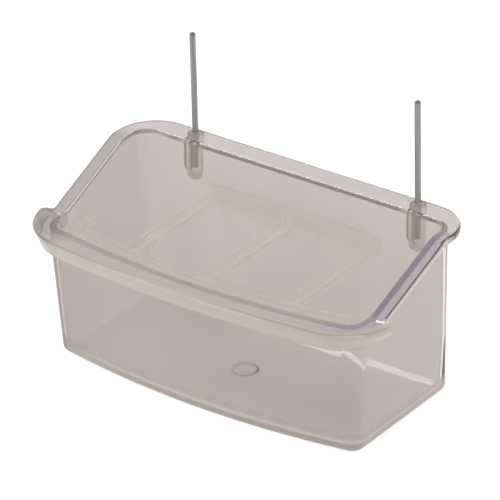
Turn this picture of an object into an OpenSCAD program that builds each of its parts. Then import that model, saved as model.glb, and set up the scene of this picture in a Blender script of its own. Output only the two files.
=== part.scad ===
// Clear seed cup that hooks inside a bird cage: a drafted tub with a bowed front,
// a rim that slopes from a high back to a low wrapped lip, two wire pins that stand
// on the back rim, and a drop-in guard grille that keeps the seed in the cup.
// Origin: centre of the whole cup on the surface that it stands on. +Y is the back.

/* [Tub] */
// Outside width of the floor
base_w = 117.4; // [100:0.2:140]
// Outside depth of the floor at its side walls
base_d = 49.6; // [44:0.2:60]
// How far the middle of the front wall bows out past its corners
front_bow = 5.6; // [4:0.1:7]
// Thickness of the walls and the floor
wall_t = 1.7; // [1.4:0.1:2]
// Lean of the side walls from upright, in degrees
side_draft = 2.8; // [1.5:0.1:4]
// Lean of the front wall from upright, in degrees
front_draft = 3.8; // [2:0.1:5]
// Lean of the back wall from upright, in degrees
back_draft = 1.2; // [0.6:0.1:2]
// Outside radius of the upright corners at the floor
corner_r = 2.2; // [1.8:0.1:4]
// Outside radius of the upright corners at the back rim
corner_top_r = 7.6; // [6:0.1:10]
// Rounding of the outside edge round the floor
base_edge_r = 2.2; // [1.4:0.1:2.6]
// Rounding inside the tub where the floor meets the walls
floor_r = 3.2; // [2:0.1:4]

/* [Rim] */
// Height of the back rim
back_h = 60.2; // [54:0.2:70]
// Height of the front lip
lip_h = 46.9; // [44:0.1:50]
// Depth of the level stretch of the back rim
back_level = 18.4; // [15:0.1:22]
// Depth from the back edge to where the sloping rim meets the lip
slope_end = 50; // [47:0.2:54]
// Width of the rim outside the side walls
side_rim = 3.6; // [2.6:0.1:4.5]
// Width of the rim outside the back wall
back_rim = 6.5; // [5.8:0.1:8]
// Thickness of the rim
rim_t = 2.3; // [1.6:0.1:3]
// Outside radius of the rim's corners
rim_r = 14.4; // [12:0.1:17]

/* [Lip] */
// How far the lip stands out from the front wall
lip_out = 5.6; // [4.6:0.1:6.4]
// How far each ear of the lip stands out past the side rim
ear_out = 3.9; // [3:0.1:4.8]
// Depth from the back edge to the ends of the ears
ear_end = 50.2; // [48:0.1:52]
// Radius of the rounded ends of the ears, seen from above
ear_r = 3; // [1.5:0.1:4]
// Height of the skirt that hangs from the lip
skirt_h = 6.8; // [5.8:0.1:8]
// How much higher the skirt's foot is at the ends of the ears than at the front
foot_rise = 2.6; // [1.6:0.1:3.4]
// Depth of the stretch over which the skirt's foot rises
rise_depth = 14; // [10:0.5:16]
// Thickness of the skirt
skirt_t = 1.3; // [1:0.1:1.6]
// Outside radius of the lip's corners
lip_r = 19.6; // [17:0.1:22]

/* [Hook pins] */
// Diameter of the wire pins
pin_d = 2; // [1.7:0.1:2.3]
// Distance between the two pins
pin_gap = 87.2; // [80:0.2:94]
// Height of the pins above the back rim
pin_free = 35; // [28:0.1:42]
// Depth of the pins in their bosses
pin_seat = 12.4; // [10:0.1:14]
// Depth of the pins' axes in front of the rim's back edge
pin_inset = 1.9; // [1.6:0.1:2.6]
// Diameter of the bosses under the back rim
boss_d = 5.3; // [4.8:0.1:5.8]
// Height of the bosses, to the ends of their round feet
boss_h = 16; // [15:0.1:20]

/* [Guard grille] */
// Height of the underside of the guard above the floor's underside
guard_z = 41.4; // [40:0.1:42.5]
// Thickness of the guard's plate
guard_t = 1.5; // [1.2:0.1:2]
// Width of the guard's bars
bar_w = 5.6; // [4.5:0.1:7]
// Distance between neighbouring bars
bar_gap = 31; // [28:0.2:34]
// Width of the rail along the front wall
rail_w = 8.6; // [7:0.1:10]
// Width of the rail's short returns along the side walls
return_w = 5.4; // [4:0.1:7]
// Depth from the back edge to the ends of the returns
return_end = 42; // [40:0.1:44]
// Width of the raised beads along the edges of the bars
bead_w = 1.2; // [0.9:0.1:1.6]
// Height of the raised beads above the plate
bead_h = 1; // [0.6:0.1:1.4]
// Depth of the back band at the outer bars
band_end = 2.8; // [2.6:0.1:5]
// Depth of the back band at the middle bar
band_mid = 7.5; // [6.5:0.1:10]
// Height of the upright strip along the back of the guard
strip_h = 5; // [4:0.1:6]
// Thickness of the upright strip
strip_t = 1.2; // [0.9:0.1:1.5]

/* [Hidden] */

// Faces round each corner, along the bowed front, round an edge and along a bend
corner_n = 10;
front_n = 18;
edge_n = 4;
bend_n = 4;
round_n = 48;

// Overrun of every cut past the face that it opens
over = 1;
// Gap between the guard and the walls that it drops between
guard_clear = 0.3;
// Straight knurl on the seated end of a pin: how far its ridges stand up, and their number
knurl_rise = 0.18;
knurl_n = 16;
// How deep the ridges of the knurl bite into the bore
press_bite = 0.02;
// Chamfer round the free end of a pin
pin_chamfer = 0.3;
// Radius of the soft bends in the line of the rim
bend_r = 6;
// Rounding of the lip's upper edge
lip_edge_r = 0.7;
// Taper of the skirt, from its top to its foot
skirt_taper = 2.2;
// Gate mark in the middle of the floor: a shallow pit below with a raised disc inside
gate_d = 8.4;
gate_rise = 0.5;
gate_pit = 0.5;
gate_nib_d = 2.4;

// How far the round backs of the bosses stand out behind the rim's back edge
boss_past = max(boss_d / 2 - pin_inset, 0);
// Depth positions: the rim's back edge, and the tub's back and front at the floor
back_y = depth_all() / 2 - boss_past;
floor_back_y = back_y - back_rim - back_h * tan(back_draft);
floor_front_y = floor_back_y - base_d;
// Depth position of the pins
pin_y = back_y - pin_inset;
// Depth position of the ends of the ears, and where the skirt's foot starts to rise
ear_y = back_y - ear_end;
rise_y = ear_y - rise_depth;
// Angle at which the rim slopes down to the front
slope_a = atan2(back_h - lip_h, slope_end - back_level);
// Inside faces of the tub at the guard, less the clearance that lets it drop in
guard_inset = wall_t + guard_clear;

// Depth of the whole cup, from the backs of the bosses to the middle of the lip
function depth_all() = boss_past + back_rim + back_h * tan(back_draft) + base_d
    + lip_h * tan(front_draft) + front_bow + lip_out;

// Size of the tub's outside at a height: half width, back, side end of the front, corner
function half_w(z) = base_w / 2 + z * tan(side_draft);
function wall_back(z) = floor_back_y + z * tan(back_draft);
function wall_front(z) = floor_front_y - z * tan(front_draft);
function wall_r(z) = corner_r + (corner_top_r - corner_r) * z / back_h;

// Points of an arc
function arc(x, y, r, from, to, n) =
    [for (i = [0:n]) let (a = from + (to - from) * i / n) [x + r * cos(a), y + r * sin(a)]];

// Closed outline with a straight back, straight sides and a front that bows out.
// Its corners are arcs that run smoothly into the sides and into the bowed front.
function outline(hw, back, front, bow, r_front, r_back) =
    let (
        big_r = (hw * hw + bow * bow) / (2 * bow),
        big_y = front - bow + big_r,
        cx = hw - r_front,
        cy = big_y - sqrt(pow(big_r - r_front, 2) - cx * cx),
        swing = atan2(cx, big_y - cy)
    )
    concat(
        arc(cx, cy, r_front, swing - 90, 0, corner_n),
        arc(hw - r_back, back - r_back, r_back, 0, 90, corner_n),
        arc(r_back - hw, back - r_back, r_back, 90, 180, corner_n),
        arc(-cx, cy, r_front, 180, 270 - swing, corner_n),
        [for (i = [1:front_n - 1]) let (a = 270 - swing + 2 * swing * i / front_n)
            [big_r * cos(a), big_y + big_r * sin(a)]]
    );

// Outline of the tub at a height, drawn in from its outside by some amount
function tub_line(z, inset) =
    outline(half_w(z) - inset, wall_back(z) - inset, wall_front(z) + inset,
        front_bow, max(wall_r(z) - inset, base_edge_r), max(wall_r(z) - inset, base_edge_r));

// Outline of the rim at a height
function rim_line(z) =
    outline(half_w(z) + side_rim, back_y, wall_front(z) - side_rim, front_bow, rim_r, rim_r);

// Outline of the lip, drawn in by some amount
function lip_line(inset) =
    outline(half_w(lip_h) + side_rim + ear_out - inset, back_y,
        wall_front(lip_h) - lip_out + inset, front_bow, lip_r - inset, lip_r - inset);

// Solid skin through outlines that lie one above the other, each a height and its points
module skin(rings) {
    n = len(rings[0][1]);
    top = (len(rings) - 1) * n;
    points = [for (ring = rings) for (p = ring[1]) [p.x, p.y, ring[0]]];
    sides = [for (k = [0:len(rings) - 2]) for (i = [0:n - 1])
        let (a = k * n + i, b = k * n + (i + 1) % n)
            each [[a, a + n, b], [b, a + n, b + n]]];
    caps = [[for (i = [0:n - 1]) i], [for (i = [n - 1:-1:0]) top + i]];
    polyhedron(points = points, faces = concat(sides, caps), convexity = 6);
}

// Rings that round the edge at the foot of a drafted tub
function edge_rings(z0, inset, r) =
    [for (i = [0:edge_n]) let (a = 90 * i / edge_n, z = z0 + r * (1 - cos(a)))
        [z, tub_line(z, inset + r * (1 - sin(a)))]];

// Outside of the tub, up past the back rim
module tub_outside() {
    skin(concat(edge_rings(0, 0, base_edge_r), [[back_h + over, tub_line(back_h + over, 0)]]));
}

// Hollow of the tub, from the floor up past the back rim
module tub_hollow() {
    z_top = back_h + 2 * over;
    skin(concat(edge_rings(wall_t, wall_t, floor_r), [[z_top, tub_line(z_top, wall_t)]]));
}

// Line of the rim's top seen from the side, from the back to the front, with soft bends
function rim_profile(drop) =
    let (
        lay = bend_r * tan(slope_a / 2),
        top = back_h - drop,
        low = lip_h - drop
    )
    concat(
        [[back_y + over, top]],
        arc(back_y - back_level + lay, top - bend_r, bend_r, 90, 90 + slope_a, bend_n),
        arc(back_y - slope_end - lay, low + bend_r, bend_r, 270 + slope_a, 270, bend_n),
        [[-back_y - front_bow - over, low]]
    );

// Everything below the rim's top
module below_rim() {
    side_prism(concat(rim_profile(0), [[-back_y - front_bow - over, -over], [back_y + over, -over]]));
}

// The layer under the rim's top that is as thick as the rim
module rim_layer() {
    low = rim_profile(rim_t);
    side_prism(concat(rim_profile(0), [for (i = [len(low) - 1:-1:0]) low[i]]));
}

// A side view, given as points of depth and height, drawn out across the whole width
module side_prism(points) {
    half = half_w(back_h) + side_rim + ear_out + over;
    translate([-half, 0, 0])
        rotate([90, 0, 90])
            linear_extrude(height = 2 * half)
                polygon(points);
}

// The part of a space that lies in front of a depth measured from the back edge
module in_front_of(depth) {
    half = half_w(back_h) + side_rim + ear_out + over;
    translate([-half, -back_y - front_bow - over, -over])
        cube([2 * half, 2 * back_y + front_bow + over - depth, back_h + 2 * over]);
}

// Rim that follows the sloping top of the tub
module rim() {
    intersection() {
        skin([[lip_h - rim_t - over, rim_line(lip_h - rim_t - over)],
            [back_h + over, rim_line(back_h + over)]]);
        rim_layer();
    }
}

// The part of a space that the lip may fill, which ends in a rounded corner at each ear
module lip_space() {
    half = half_w(lip_h) + side_rim + ear_out;
    front = -back_y - front_bow - over;
    translate([0, 0, -over])
        linear_extrude(height = lip_h + 2 * over)
            polygon(concat(
                arc(half - ear_r, ear_y - ear_r, ear_r, 0, 90, corner_n),
                arc(ear_r - half, ear_y - ear_r, ear_r, 90, 180, corner_n),
                [[-half - over, ear_y - ear_r], [-half - over, front], [half + over, front],
                    [half + over, ear_y - ear_r]]));
}

// Everything above the foot of the skirt, which is level in front and rises to the ears
module above_foot() {
    foot = lip_h - skirt_h;
    slope = foot_rise / rise_depth;
    front = -back_y - front_bow - over;
    side_prism([
        [front, foot - over],
        [rise_y - over / slope, foot - over],
        [ear_y + over, foot + foot_rise + over * slope],
        [ear_y + over, lip_h + over],
        [front, lip_h + over]
    ]);
}

// Front lip with a hanging skirt that wraps the corners and stops in two ears
module lip() {
    foot = lip_h - skirt_h;
    difference() {
        intersection() {
            skin(concat(
                [[foot, lip_line(skirt_taper)]],
                [for (i = [0:edge_n]) let (a = 90 * i / edge_n)
                    [lip_h - lip_edge_r * (1 - sin(a)), lip_line(lip_edge_r * (1 - cos(a)))]]));
            lip_space();
            above_foot();
        }
        intersection() {
            skin([[foot - over, lip_line(skirt_taper + skirt_t)],
                [lip_h - rim_t, lip_line(skirt_t)]]);
            in_front_of(ear_end + skirt_t);
        }
    }
}

// Boss that holds a pin, up through the back rim, with a round foot and a web to the wall
module boss(x) {
    foot_z = back_h - boss_h + boss_d / 2;
    reach = pin_y - wall_back(foot_z) + wall_t / 2;
    translate([x, pin_y, foot_z]) {
        sphere(d = boss_d, $fn = round_n);
        cylinder(d = boss_d, h = back_h - foot_z, $fn = round_n);
        rotate([90, 0, 0])
            cylinder(d = boss_d, h = reach, $fn = round_n);
        translate([-boss_d / 2, -reach, 0])
            cube([boss_d, reach, back_h - rim_t / 2 - foot_z]);
    }
}

// Bore for a pressed pin
module pin_bore(x) {
    translate([x, pin_y, back_h - pin_seat])
        cylinder(d = pin_d + 2 * (knurl_rise - press_bite), h = pin_seat + over, $fn = round_n);
}

// The moulded cup: tub, rim, lip, bosses and gate mark in one clear piece
module cup_body() {
    gate_y = (wall_back(0) + wall_front(0) - front_bow) / 2;
    color([0.78, 0.75, 0.76, 0.55])
        difference() {
            union() {
                difference() {
                    union() {
                        intersection() {
                            tub_outside();
                            below_rim();
                        }
                        rim();
                        lip();
                        for (side = [-1, 1])
                            boss(side * pin_gap / 2);
                    }
                    tub_hollow();
                }
                translate([0, gate_y, wall_t - over / 2])
                    cylinder(d = gate_d, h = gate_rise + over / 2, $fn = round_n);
            }
            difference() {
                translate([0, gate_y, -over])
                    cylinder(d = gate_d, h = gate_pit + over, $fn = round_n);
                gate_nib(gate_y);
            }
            for (side = [-1, 1])
                pin_bore(side * pin_gap / 2);
        }
}

// Broken-off stub of the moulding gate, kept just clear of the table
module gate_nib(y) {
    translate([0, y, gate_pit / 2])
        cylinder(d = gate_nib_d, h = gate_pit, $fn = round_n);
}

// Outline of the knurl, whose grooves lie at the bare wire's own radius
knurl_points = [for (k = [0:2 * knurl_n - 1])
    let (a = 180 * k / knurl_n, r = pin_d / 2 + (k % 2 == 0 ? knurl_rise : 0))
        [r * cos(a), r * sin(a)]];

// Wire pin: a knurled end pressed into its boss, and a bare end chamfered at the top
module pin(x) {
    translate([x, pin_y, back_h]) {
        translate([0, 0, -pin_seat])
            linear_extrude(height = pin_seat)
                polygon(knurl_points);
        cylinder(d = pin_d, h = pin_free - pin_chamfer, $fn = round_n);
        translate([0, 0, pin_free - pin_chamfer])
            cylinder(d1 = pin_d, d2 = pin_d - 2 * pin_chamfer, h = pin_chamfer, $fn = round_n);
    }
}

module pin_left() {
    color([0.62, 0.62, 0.64]) pin(-pin_gap / 2);
}

module pin_right() {
    color([0.62, 0.62, 0.64]) pin(pin_gap / 2);
}

// Back edge of the guard
guard_back_y = wall_back(guard_z) - guard_inset;

// Plan of the guard between the walls, drawn in by some amount
function guard_line(side_in, front_in) =
    outline(half_w(guard_z) - guard_inset - side_in, guard_back_y,
        wall_front(guard_z) + guard_inset + front_in, front_bow,
        wall_r(guard_z) - guard_inset, wall_r(guard_z) - guard_inset);

// Front rail with short returns along the side walls and a bead round its inner edge
module guard_rail() {
    difference() {
        linear_extrude(height = guard_t + bead_h)
            polygon(guard_line(0, 0));
        translate([0, 0, -over])
            linear_extrude(height = guard_t + bead_h + 2 * over)
                polygon(guard_line(return_w, rail_w));
        translate([0, 0, guard_t])
            difference() {
                linear_extrude(height = bead_h + over)
                    polygon(guard_line(-over, -over));
                translate([0, 0, -over])
                    linear_extrude(height = bead_h + 3 * over)
                        polygon(guard_line(return_w - bead_w, rail_w - bead_w));
            }
        half = half_w(back_h);
        translate([-half, back_y - return_end, -over])
            cube([2 * half, return_end, guard_t + bead_h + 2 * over]);
    }
}

// One bar from the front rail to the back wall, with a bead along each edge
module guard_bar(x) {
    front_y = wall_front(guard_z) + guard_inset + rail_w - front_bow * bar_bow_share(x);
    length = guard_back_y - front_y;
    translate([x - bar_w / 2, front_y - bead_w, 0]) {
        cube([bar_w, length + bead_w, guard_t]);
        for (dx = [0, bar_w - bead_w])
            translate([dx, bead_w / 2, 0])
                cube([bead_w, length + bead_w / 2, guard_t + bead_h]);
        translate([0, length + bead_w - 2 * strip_t, 0])
            cube([bar_w, 2 * strip_t, guard_t + strip_h]);
    }
}

// How much of the front bow is left beside the middle
function bar_bow_share(x) = 1 - pow(x / half_w(guard_z), 2);

// Band along the back wall with a bowed front edge and an upright strip behind
module guard_band() {
    half = bar_gap + bar_w / 2;
    bow = band_mid - band_end;
    big_r = (bar_gap * bar_gap + bow * bow) / (2 * bow);
    intersection() {
        translate([-half, guard_back_y - band_mid - over, 0])
            cube([2 * half, band_mid + over, guard_t]);
        translate([0, guard_back_y - band_mid + big_r, -over])
            cylinder(r = big_r, h = guard_t + 2 * over, $fn = 4 * round_n);
    }
    translate([-half, guard_back_y - strip_t, 0])
        cube([2 * half, strip_t, guard_t + strip_h]);
}

// Drop-in guard that lies between the walls at the level of the lip
module guard_grille() {
    color([0.80, 0.77, 0.78, 0.6])
        translate([0, 0, guard_z]) {
            guard_rail();
            guard_band();
            for (k = [-1:1])
                guard_bar(k * bar_gap);
        }
}

cup_body();
guard_grille();
pin_left();
pin_right();
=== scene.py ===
# %% [markdown]
# A clear moulded seed cup, dressed round its packed model.
#
# The cup is one injection moulding in smoky clear plastic, with two wire pins pressed
# into its back rim and a loose guard grille inside. The packed model already holds every
# true size, so this file only adds what a camera sees: rounded edges, smooth walls, the
# faint haze and tint of the plastic and the dull grey of drawn wire. The packed model is
# loaded first and stays where it is. Everything else is placed by it.

# %% Load the packed model
import bpy
import bmesh
import math
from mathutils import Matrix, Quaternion, Vector


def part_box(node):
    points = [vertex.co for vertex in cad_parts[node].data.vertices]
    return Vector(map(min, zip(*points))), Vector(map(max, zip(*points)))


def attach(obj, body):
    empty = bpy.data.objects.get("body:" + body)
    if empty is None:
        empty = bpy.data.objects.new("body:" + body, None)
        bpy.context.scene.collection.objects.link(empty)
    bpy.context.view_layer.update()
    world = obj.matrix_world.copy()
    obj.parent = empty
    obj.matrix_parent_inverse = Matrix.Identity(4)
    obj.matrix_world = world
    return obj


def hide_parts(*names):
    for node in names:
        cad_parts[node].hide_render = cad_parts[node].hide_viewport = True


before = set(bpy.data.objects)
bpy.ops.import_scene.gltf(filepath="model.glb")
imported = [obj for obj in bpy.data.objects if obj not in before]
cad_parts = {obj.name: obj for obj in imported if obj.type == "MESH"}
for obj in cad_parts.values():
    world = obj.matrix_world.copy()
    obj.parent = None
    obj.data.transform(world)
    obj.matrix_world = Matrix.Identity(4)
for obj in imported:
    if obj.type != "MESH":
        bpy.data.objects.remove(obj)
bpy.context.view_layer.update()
MM = 0.001
CUP_LOW, CUP_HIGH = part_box("cup_body")
print("cup body, mm:", [round(side / MM, 1) for side in CUP_HIGH - CUP_LOW])

# %% [markdown]
# The camera.
#
# The cup was photographed from its right front corner, from well above the rim, with a
# long lens that keeps far edges nearly parallel. A camera could be set by hand until the
# picture looks right. Here its place comes from a fit of the cup's own edges, so the
# rim, the floor and the pins all land where they should at once.

# %% Camera
VIEW_AZIMUTH = 37.043
VIEW_ELEVATION = 28.483
VIEW_ROLL = 1.404
VIEW_DISTANCE = 1395.553 * MM
VIEW_AIM = Vector((0.583, 2.735, 43.651)) * MM
LENS = 319.235
SENSOR = 36
FAR_CLIP = 20


def make_camera():
    """A long lens that looks at the cup from the right front, with a slight tilt."""
    around = math.radians(VIEW_AZIMUTH)
    above = math.radians(VIEW_ELEVATION)
    back = Vector((math.sin(around) * math.cos(above), -math.cos(around) * math.cos(above), math.sin(above)))
    lens = bpy.data.cameras.new("view_camera")
    lens.lens = LENS
    lens.sensor_width = SENSOR
    lens.clip_end = FAR_CLIP
    camera = bpy.data.objects.new("view_camera", lens)
    bpy.context.scene.collection.objects.link(camera)
    camera.location = VIEW_AIM + back * VIEW_DISTANCE
    camera.rotation_mode = "QUATERNION"
    tilt = Quaternion((0, 0, 1), -math.radians(VIEW_ROLL))
    camera.rotation_quaternion = (-back).to_track_quat("-Z", "Y") @ tilt
    bpy.context.scene.camera = camera
    return camera


print("camera at, mm:", [round(c / MM) for c in make_camera().location])

# %% [markdown]
# Shader maths that reads like sums.
#
# A surface that changes from place to place is a small sum of textures, masks and
# positions. It could be wired node by node, which hides the sum in many lines. One small
# class instead wraps a socket, so that adding or multiplying two of them makes the Math
# node, and one method makes any other node from its type, settings and inputs.

# %% A socket that can be added and multiplied
class Wire:
    """One output socket in a material, with sums on values and colours."""

    def __init__(self, finish, socket):
        self.finish = finish
        self.socket = socket

    def sum_with(self, operation, first, second=None):
        """A Math node on one or two values."""
        inputs = {0: first} if second is None else {0: first, 1: second}
        return self.finish.node("ShaderNodeMath", {"operation": operation}, inputs)

    def __add__(self, other):
        return self.sum_with("ADD", self, other)

    def __radd__(self, other):
        return self.sum_with("ADD", other, self)

    def __sub__(self, other):
        return self.sum_with("SUBTRACT", self, other)

    def __rsub__(self, other):
        return self.sum_with("SUBTRACT", other, self)

    def __mul__(self, other):
        return self.sum_with("MULTIPLY", self, other)

    def __pow__(self, other):
        return self.sum_with("POWER", self, other)

    def at_most(self, limit):
        """The value, or the limit where the value is higher."""
        return self.sum_with("MINIMUM", self, limit)

    def size(self):
        """The value without its sign."""
        return self.sum_with("ABSOLUTE", self)

    def part(self, name):
        """One axis of a vector, such as "Z"."""
        return self.finish.node("ShaderNodeSeparateXYZ", {}, {0: self}, name)

    def between(self, low, high):
        """0 below low, 1 above high, and a smooth step between them."""
        settings = {"interpolation_type": "SMOOTHSTEP"}
        inputs = {"Value": self, "From Min": low, "From Max": high}
        return self.finish.node("ShaderNodeMapRange", settings, inputs)

    def past(self, start, end):
        """0 before one place and 1 beyond another, both in millimetres."""
        return self.between(start * MM, end * MM)


print("a wire's own methods:", ", ".join(name for name in vars(Wire) if "_" not in name))

# %% A material under construction
# A Mix node has sockets for every kind of data, and these are its sockets for colours.
MIX_FIRST = 6
MIX_SECOND = 7
MIX_RESULT = 2
PLAIN_DETAIL = 2.0
FINE_DETAIL = 3.0


class Finish:
    """A material under construction, node by node, up to the shader of its surface."""

    def __init__(self, name):
        self.material = bpy.data.materials.new(name)
        self.material.use_nodes = True
        self.tree = self.material.node_tree
        self.tree.nodes.clear()
        self.output = self.tree.nodes.new("ShaderNodeOutputMaterial")

    def node(self, kind, settings, inputs, output=0):
        """Any node: its settings first, then a value or a wire for each socket named."""
        made = self.tree.nodes.new(kind)
        for name, value in settings.items():
            setattr(made, name, value)
        for name, value in inputs.items():
            if isinstance(value, Wire):
                self.tree.links.new(value.socket, made.inputs[name])
            else:
                made.inputs[name].default_value = value
        return Wire(self, made.outputs[output])

    def place(self):
        """Position on the piece, in metres, the same in every view."""
        return self.node("ShaderNodeTexCoord", {}, {}, "Object")

    def noise(self, scale, detail=PLAIN_DETAIL, stretch=(1, 1, 1)):
        """Soft random values from 0 to 1, stretched along the axes."""
        spread = self.node("ShaderNodeVectorMath", {"operation": "MULTIPLY"}, {0: self.place(), 1: stretch})
        inputs = {"Vector": spread, "Scale": scale, "Detail": detail}
        return self.node("ShaderNodeTexNoise", {}, inputs, "Fac")

    def blend(self, share, first, second):
        """A colour between two colours."""
        inputs = {0: share, MIX_FIRST: first, MIX_SECOND: second}
        return self.node("ShaderNodeMix", {"data_type": "RGBA"}, inputs, MIX_RESULT)

    def edge_on(self):
        """0 where a surface faces the eye, 1 where it is seen edge on."""
        return self.node("ShaderNodeLayerWeight", {}, {}, "Facing")

    def bump(self, height, strength, distance):
        """A bent normal, from a height and its depth in metres."""
        inputs = {"Height": height, "Strength": strength, "Distance": distance}
        return self.node("ShaderNodeBump", {}, inputs)

    def surface(self, shader):
        """Link the surface's shader, and give the finished material."""
        self.tree.links.new(shader.socket, self.output.inputs["Surface"])
        return self.material


def grey(level):
    """A colour without a hue, from black at 0 to white at 1."""
    return (level, level, level, 1)


print("white as a shader's colour:", grey(1))

# %% [markdown]
# The studio.
#
# The cup stands on a pale floor that runs out of the picture on every side, under two
# soft lamps: a large one in front on the left and a small one on the right. Clear plastic
# shows what is round it more than its own colour, so the room matters. A plain white room
# would do for a painted object, but here it would wash out every edge. So the room is
# white near the floor and dims towards the ceiling, which draws the dark and bright lines
# along each rounded edge. The floor is white paint with a little glow of its own for the
# eye and for what the plastic shows, and it still takes the cup's shadow.

# %% The floor
FLOOR_HALF = 4.0
FLOOR_DROP = 0.0002
FLOOR_PAINT = 0.85
FLOOR_GLOW = 0.40


def make_floor():
    """A wide white sheet just under the cup."""
    mesh = bpy.data.meshes.new("floor")
    half = FLOOR_HALF
    corners = [(-half, -half), (half, -half), (half, half), (-half, half)]
    mesh.from_pydata([(x, y, -FLOOR_DROP) for x, y in corners], [], [(0, 1, 2, 3)])
    floor = bpy.data.objects.new("floor", mesh)
    bpy.context.scene.collection.objects.link(floor)
    finish = Finish("floor_white")
    seen = finish.node("ShaderNodeLightPath", {}, {}, "Is Camera Ray")
    mirrored = finish.node("ShaderNodeLightPath", {}, {}, "Is Glossy Ray")
    through = finish.node("ShaderNodeLightPath", {}, {}, "Is Transmission Ray")
    glow = (seen + mirrored + through).at_most(1) * FLOOR_GLOW
    paint = finish.node("ShaderNodeBsdfDiffuse", {}, {"Color": grey(FLOOR_PAINT)})
    light = finish.node("ShaderNodeEmission", {}, {"Color": grey(1), "Strength": glow})
    mesh.materials.append(finish.surface(finish.node("ShaderNodeAddShader", {}, {0: paint, 1: light})))
    return floor


print(make_floor().name, "is", 2 * FLOOR_HALF, "m wide")

# %% The room
# Brightness near the floor and overhead, and where the change between them starts and ends,
# from 0 for a level direction to 1 for straight up
ROOM_LOW = 1.0
ROOM_HIGH = 0.5
ROOM_FADE = (0.15, 0.8)


def make_room():
    """Light from all round that dims with height."""
    world = bpy.data.worlds.new("room")
    bpy.context.scene.world = world
    world.use_nodes = True
    tree = world.node_tree
    tree.nodes.clear()
    where = tree.nodes.new("ShaderNodeTexCoord")
    split = tree.nodes.new("ShaderNodeSeparateXYZ")
    fade = tree.nodes.new("ShaderNodeMapRange")
    fade.interpolation_type = "SMOOTHSTEP"
    fade.inputs["From Min"].default_value = ROOM_FADE[0]
    fade.inputs["From Max"].default_value = ROOM_FADE[1]
    fade.inputs["To Min"].default_value = ROOM_LOW
    fade.inputs["To Max"].default_value = ROOM_HIGH
    sky = tree.nodes.new("ShaderNodeBackground")
    sky.inputs["Color"].default_value = grey(1)
    end = tree.nodes.new("ShaderNodeOutputWorld")
    tree.links.new(where.outputs["Generated"], split.inputs[0])
    tree.links.new(split.outputs["Z"], fade.inputs["Value"])
    tree.links.new(fade.outputs[0], sky.inputs["Strength"])
    tree.links.new(sky.outputs[0], end.inputs["Surface"])
    return world


print(make_room().name, "from", ROOM_HIGH, "overhead to", ROOM_LOW, "near the floor")

# %% The lamps
LAMP_AIM = Vector((0, 0, 0.03))
# Each lamp's name, its place and size in metres, and its power in watts
LAMPS = (("key_lamp", (-0.58, -0.53, 0.77), 0.28, 3.8), ("side_lamp", (0.9, 0.1, 0.6), 0.12, 2.0))


def make_lamp(name, place, size, power):
    """A soft square lamp that points at the middle of the cup."""
    light = bpy.data.lights.new(name, "AREA")
    light.energy = power
    light.size = size
    lamp = bpy.data.objects.new(name, light)
    bpy.context.scene.collection.objects.link(lamp)
    lamp.location = place
    lamp.rotation_mode = "QUATERNION"
    lamp.rotation_quaternion = (LAMP_AIM - Vector(place)).to_track_quat("-Z", "Y")
    return lamp


for lamp in LAMPS:
    print(make_lamp(*lamp).name, "at", lamp[1])
bpy.context.scene.view_settings.view_transform = "Standard"

# %% [markdown]
# The cup's outline at any height.
#
# Seen from above, every level of the cup is the same kind of line: a straight back,
# straight sides, a front that bows out, and round corners. The walls lean outwards, so
# the line grows with height. It could be stored as points, but then nothing could lean
# or be rounded. Here one function gives the place of a column on a line of any size, and
# a few functions give the lines of the tub, the rim and the lip.

# %% Sizes of the cup, in millimetres as on the drawing
# The tub. At the floor, its front corners and its base edge look softer in the photograph
# than in the packed model, so these two radii are larger here: 4.6 and 2.4, both 2.2 there.
BASE_W = 117.4
BASE_D = 49.6
FRONT_BOW = 5.6
WALL_T = 1.7
SIDE_DRAFT = math.tan(math.radians(2.8))
FRONT_DRAFT = math.tan(math.radians(3.8))
BACK_DRAFT = math.tan(math.radians(1.2))
CORNER_R = 2.2
FRONT_CORNER_R = 4.6
CORNER_TOP_R = 7.6
BASE_EDGE_R = 2.4
FLOOR_R = 3.2
# The rim, from the high back down to the level of the lip.
BACK_H = CUP_HIGH.z / MM
LIP_H = 46.9
BACK_LEVEL = 18.4
SLOPE_END = 50
SIDE_RIM = 3.6
BACK_RIM = 6.5
RIM_T = 2.3
RIM_R = 14.4
# The lip, its ears and its skirt.
LIP_OUT = 5.6
EAR_OUT = 3.9
EAR_END = 50.2
EAR_R = 3
SKIRT_H = 6.8
FOOT_RISE = 2.6
RISE_DEPTH = 14
SKIRT_T = 1.3
SKIRT_TAPER = 2.2
LIP_R = 19.6
# The bosses, which stand out behind the rim, and the places that follow from all of these.
BOSS_D = 5.3
PIN_INSET = 1.9
BACK_Y = CUP_HIGH.y / MM - (BOSS_D / 2 - PIN_INSET)
PIN_Y = BACK_Y - PIN_INSET
FLOOR_BACK = BACK_Y - BACK_RIM - BACK_H * BACK_DRAFT
FLOOR_FRONT = FLOOR_BACK - BASE_D
EAR_Y = BACK_Y - EAR_END
LIP_HALF = BASE_W / 2 + LIP_H * SIDE_DRAFT + SIDE_RIM + EAR_OUT
print("back edge of the rim at", round(BACK_Y, 2), "mm, ears end at", round(EAR_Y, 2), "mm")


# %% Lines of the tub, the rim and the lip
class Line:
    """One level line of the cup: its half width, back, side end of the front and radii."""

    def __init__(self, half, back, front, r_front, r_back):
        self.half = half
        self.back = back
        self.r_front = r_front
        self.r_back = r_back
        bow_r = (half * half + FRONT_BOW * FRONT_BOW) / (2 * FRONT_BOW)
        self.bow_r = bow_r
        self.bow_y = front - FRONT_BOW + bow_r
        self.corner_y = self.bow_y - math.sqrt((bow_r - r_front) ** 2 - (half - r_front) ** 2)
        self.swing = math.atan2(half - r_front, self.bow_y - self.corner_y)


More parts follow.
